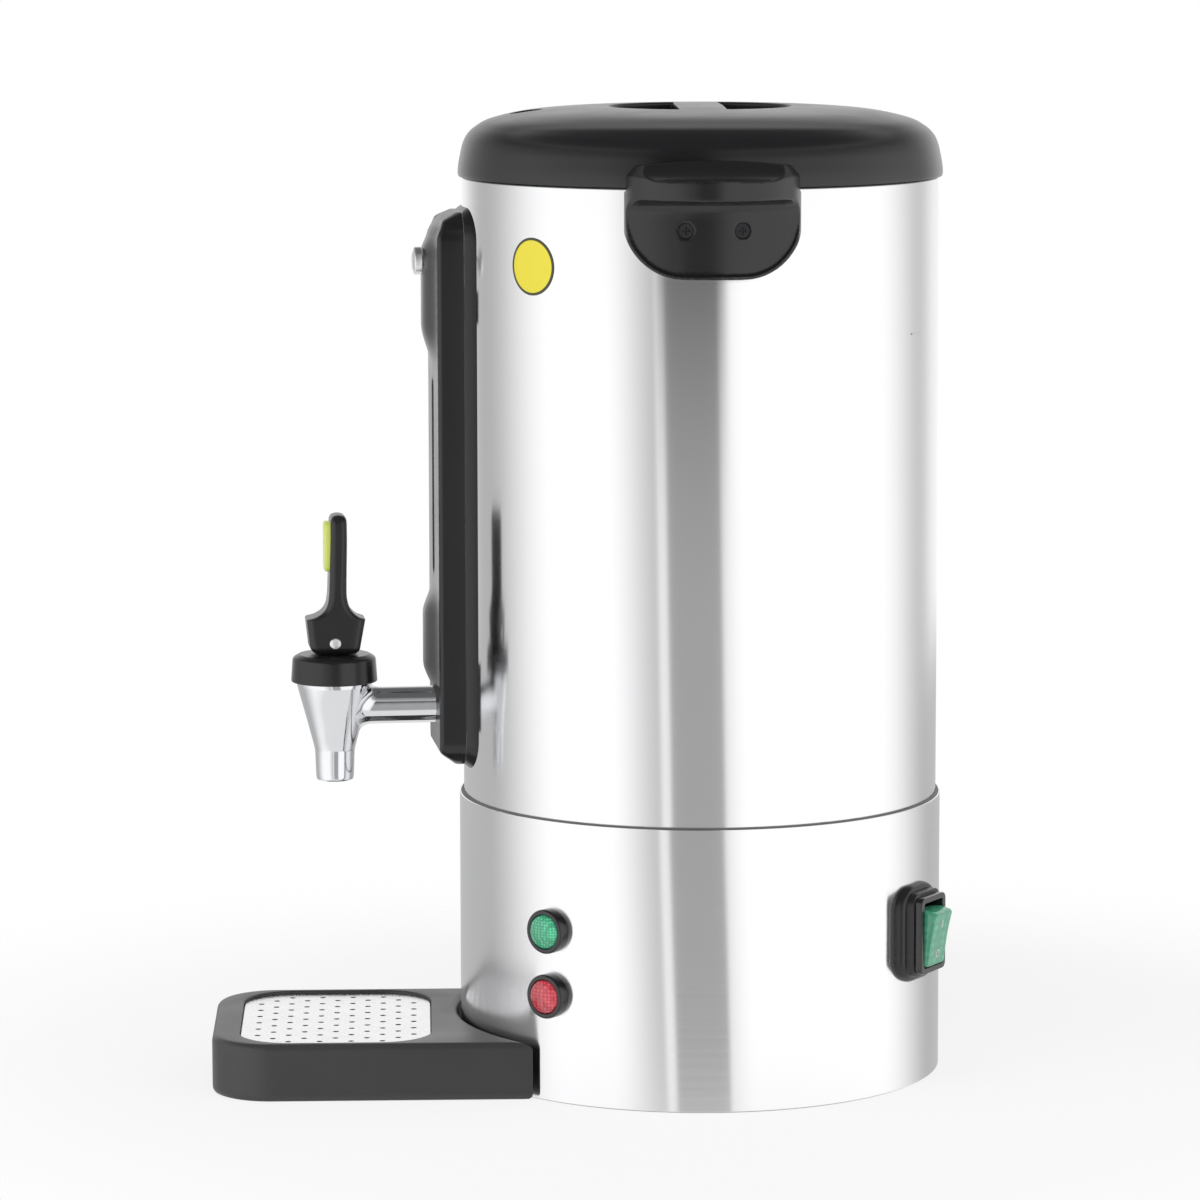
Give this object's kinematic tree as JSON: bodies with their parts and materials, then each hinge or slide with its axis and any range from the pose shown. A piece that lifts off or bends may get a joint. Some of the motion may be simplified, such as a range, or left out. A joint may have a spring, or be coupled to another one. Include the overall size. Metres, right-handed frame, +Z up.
{
  "type": "coffee percolator urn",
  "caption": "Upright steel coffee urn with lift-off lid, lift-out percolator basket, sight gauge, self-closing lever tap, side handles, rocker switch, lamps and a loose drip tray.",
  "frame": {"origin": "on the tank's axis, at the level of the table that the foot ring stands on", "axes": "+Z up along the tank's axis; -X towards the tap side and the drip tray; -Y towards the near handle"},
  "size_m": [0.3415, 0.272, 0.4498],
  "materials": {
    "polished_steel": "polished stainless sheet with faint grain",
    "inner_steel": "plain stainless",
    "fasteners": "plated screws and nuts",
    "chrome": "bright chrome plate",
    "black_plastic": "satin black heat-resistant plastic",
    "inner_plastic": "matt black plastic",
    "gloss_black": "glossy black plastic",
    "green_clear": "translucent green plastic",
    "red_clear": "translucent red plastic",
    "yellow_print": "plain yellow film",
    "lime_pad": "lime-coloured plastic",
    "rubber": "black rubber",
    "silicone": "pale silicone",
    "clear_tube": "clear tube",
    "cast_alu": "cast aluminium",
    "brass": "brass",
    "terminal_plastic": "pale ceramic-like plastic",
    "wire_cover": "wire insulation"
  },
  "bodies": {
    "urn": {"skirt_shell": "polished_steel", "tank_shell": "polished_steel", "base_plate": "inner_steel", "tie_posts": "inner_steel", "tank_floor": "inner_steel", "brew_element": "inner_steel", "base_screws": "fasteners", "handle_screws": "fasteners", "handle_nuts": "fasteners", "gauge_nut": "fasteners", "tap_nut": "fasteners", "tap_spring": "fasteners", "tap_body": "chrome", "gauge_cap": "chrome", "handle_near": "black_plastic", "handle_far": "black_plastic", "gauge_cover": "black_plastic", "gauge_frame": "black_plastic", "tap_bonnet": "black_plastic", "cord_gland": "black_plastic", "gland_nut": "black_plastic", "gauge_block": "inner_plastic", "gauge_plug": "inner_plastic", "thermostat": "inner_plastic", "lamp_nuts": "inner_plastic", "lamp_bezels": "gloss_black", "switch_surround": "gloss_black", "switch_body": "gloss_black", "green_lens": "green_clear", "red_lens": "red_clear", "heat_dot": "yellow_print", "foot_ring": "rubber", "seam_ring": "rubber", "tap_washers": "rubber", "gauge_seals": "silicone", "sight_tube": "clear_tube", "heater_plate": "cast_alu", "warm_element": "cast_alu", "thermal_cutout": "brass", "terminal_block": "terminal_plastic", "wiring": "wire_cover"},
    "lid": {"lid_shell": "black_plastic", "lid_liner": "inner_plastic", "lid_seal": "silicone", "lid_screws": "fasteners"},
    "insert": {"riser_tube": "inner_steel", "pump_bell": "inner_steel", "basket": "inner_steel", "basket_cover": "inner_steel"},
    "stem": {"tap_stem": "inner_steel", "seat_cup": "silicone"},
    "lever": {"tap_lever": "black_plastic", "lever_pin": "chrome", "lever_pad": "lime_pad"},
    "rocker": {"switch_rocker": "green_clear"},
    "tray": {"tray_body": "black_plastic"},
    "drip_plate": {"tray_plate": "inner_steel"}
  },
  "joints": [
    {"name": "lid_lift", "type": "slide", "parent": "urn", "child": "lid", "axis": [0, 0, 1], "range_m": [0, 0.37]},
    {"name": "insert_lift", "type": "slide", "parent": "urn", "child": "insert", "axis": [0, 0, 1], "range_m": [0, 0.333]},
    {"name": "stem_lift", "type": "slide", "parent": "urn", "child": "stem", "axis": [0, 0, 1], "range_m": [0, 0.0036], "deforming": ["tap_spring"]},
    {"name": "lever_tilt", "type": "hinge", "parent": "stem", "child": "lever", "pos_m": [-0.17065, -0.01493, 0.2028], "axis": [0.0872, -0.9962, 0], "range_deg": [0, 30], "stiffness_Nm_per_rad": 0.4, "springref_deg": -17.19},
    {"name": "rocker_tilt", "type": "hinge", "parent": "urn", "child": "rocker", "pos_m": [0.0971, -0.06068, 0.0725], "axis": [-0.5299, -0.848, 0], "range_deg": [0, 20]},
    {"name": "tray_slide", "type": "slide", "parent": "urn", "child": "tray", "axis": [-1, 0, 0], "range_m": [0, 0.1]},
    {"name": "plate_lift", "type": "slide", "parent": "tray", "child": "drip_plate", "axis": [0, 0, 1], "range_m": [0, 0.04]}
  ],
  "couplings": [
    {"joint": "insert_lift", "follows": "lid_lift", "ratio": 0.9},
    {"joint": "stem_lift", "follows": "lever_tilt", "m_per_rad": 0.0065}
  ]
}
